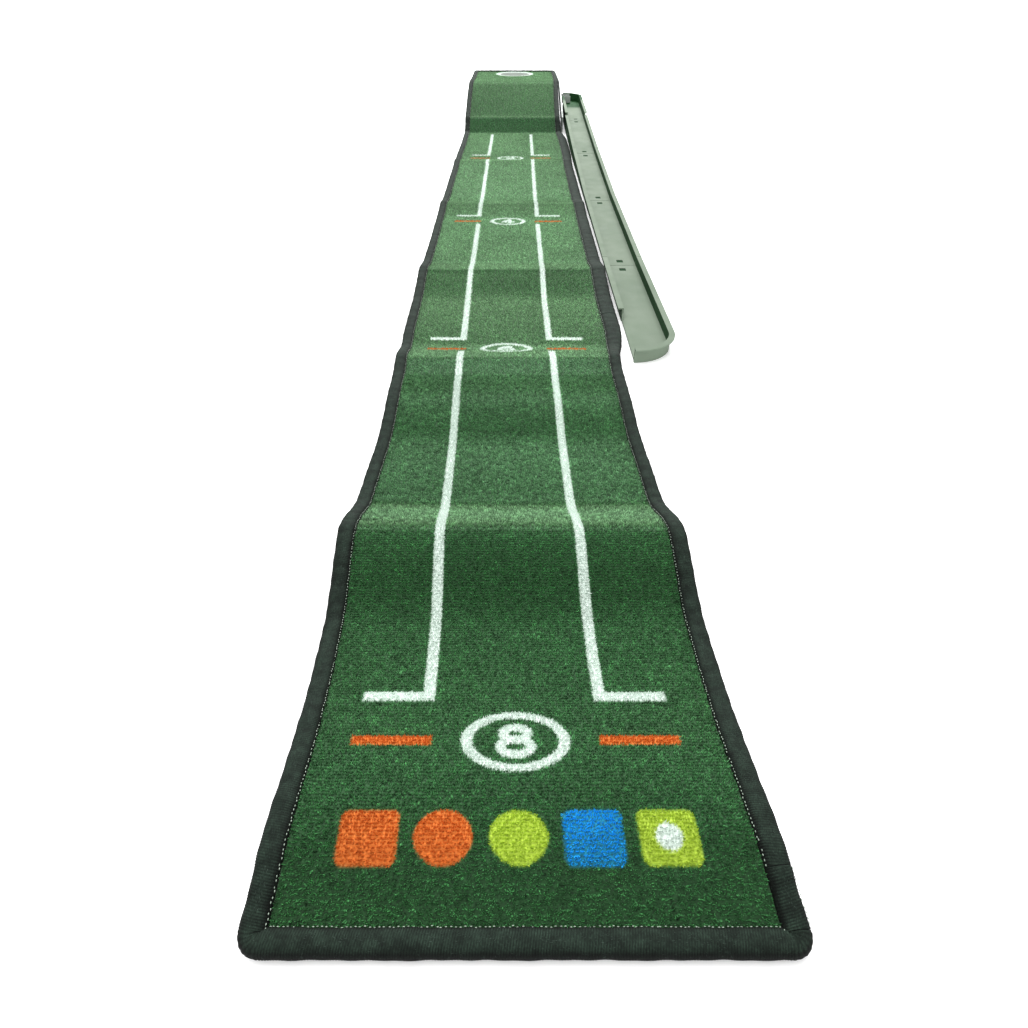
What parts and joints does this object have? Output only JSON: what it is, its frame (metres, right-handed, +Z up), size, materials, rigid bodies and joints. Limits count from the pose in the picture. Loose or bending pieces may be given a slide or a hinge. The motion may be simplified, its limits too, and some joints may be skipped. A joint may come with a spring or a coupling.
{
  "type": "practice putting mat",
  "caption": "Long folding pile putting mat that climbs a ramp to a raised hole, with a channelled gravity track along its right side that rolls the ball back to the player.",
  "frame": {"origin": "on the floor under the centre of the hole", "axes": "+Z up, +Y along the putt away from the player, +X across the mat towards the return track"},
  "size_m": [0.3803, 2.93, 0.118],
  "materials": {
    "turf": "short cut pile, printed",
    "underlay": "matt textured rubber",
    "border_yarn": "wrapped yarn with a pale lock stitch",
    "head_plastic": "fine moulded texture",
    "light_plastic": "fine moulded texture",
    "track_plastic": "milky, slightly see-through plastic",
    "elbow_plastic": "satin moulded plastic",
    "screws": "zinc plated",
    "grip_rubber": "matt",
    "hook_tape": "hook-and-loop pile"
  },
  "bodies": {
    "head": {"turf_ramp": "turf", "underlay_ramp": "underlay", "border_ramp": "border_yarn", "head_base": "head_plastic", "left_wall": "head_plastic", "right_wall": "head_plastic", "back_wall": "head_plastic", "ramp_plate": "head_plastic", "ramp_ribs": "head_plastic", "deck_plate": "head_plastic", "support_posts": "head_plastic", "base_screws": "screws", "grip_pads": "grip_rubber", "side_cover": "light_plastic", "side_screws": "screws", "hook_strips": "hook_tape", "hole_collar": "light_plastic", "ball_chute": "head_plastic", "outlet_spout": "light_plastic"},
    "mat_5": {"turf_panel_5": "turf", "underlay_panel_5": "underlay", "border_panel_5": "border_yarn"},
    "mat_4": {"turf_panel_4": "turf", "underlay_panel_4": "underlay", "border_panel_4": "border_yarn"},
    "mat_3": {"turf_panel_3": "turf", "underlay_panel_3": "underlay", "border_panel_3": "border_yarn"},
    "mat_2": {"turf_panel_2": "turf", "underlay_panel_2": "underlay", "border_panel_2": "border_yarn"},
    "mat_1": {"turf_panel_1": "turf", "underlay_panel_1": "underlay", "border_panel_1": "border_yarn"},
    "elbow": {"outlet_elbow": "elbow_plastic", "elbow_clip": "track_plastic"},
    "upper": {"upper_track": "track_plastic", "upper_clip": "track_plastic"},
    "middle": {"middle_track": "track_plastic", "middle_clip": "track_plastic"},
    "lower": {"lower_track": "track_plastic", "lower_clip": "track_plastic"},
    "tray": {"ball_tray": "track_plastic"}
  },
  "joints": [
    {"name": "fold_5", "type": "hinge", "parent": "head", "child": "mat_5", "pos_m": [0, -0.947, 0.01405], "axis": [-1, 0, 0], "range_deg": [0, 75]},
    {"name": "fold_4", "type": "hinge", "parent": "mat_5", "child": "mat_4", "pos_m": [0, -1.376, 0.00395], "axis": [1, 0, 0], "range_deg": [0, 150]},
    {"name": "fold_3", "type": "hinge", "parent": "mat_4", "child": "mat_3", "pos_m": [0, -1.805, 0.01905], "axis": [-1, 0, 0], "range_deg": [0, 150]},
    {"name": "fold_2", "type": "hinge", "parent": "mat_3", "child": "mat_2", "pos_m": [0, -2.161, 0.01495], "axis": [1, 0, 0], "range_deg": [0, 150]},
    {"name": "fold_1", "type": "hinge", "parent": "mat_2", "child": "mat_1", "pos_m": [0, -2.517, 0.03405], "axis": [-1, 0, 0], "range_deg": [0, 150]},
    {"name": "elbow_pull", "type": "slide", "parent": "head", "child": "elbow", "axis": [1, 0, 0], "range_m": [0, 0.02]},
    {"name": "upper_lift", "type": "slide", "parent": "elbow", "child": "upper", "axis": [-0.0004, -0.0388, 0.9992], "range_m": [0, 0.012]},
    {"name": "middle_lift", "type": "slide", "parent": "upper", "child": "middle", "axis": [-0.0001, -0.0401, 0.9992], "range_m": [0, 0.012]},
    {"name": "lower_lift", "type": "slide", "parent": "middle", "child": "lower", "axis": [0, -0.0146, 0.9999], "range_m": [0, 0.012]},
    {"name": "tray_lift", "type": "slide", "parent": "lower", "child": "tray", "axis": [0, 0, 1], "range_m": [0, 0.012]}
  ],
  "couplings": [
    {"joint": "fold_4", "follows": "fold_5", "ratio": 2},
    {"joint": "fold_3", "follows": "fold_5", "ratio": 2},
    {"joint": "fold_2", "follows": "fold_5", "ratio": 2},
    {"joint": "fold_1", "follows": "fold_5", "ratio": 2}
  ]
}
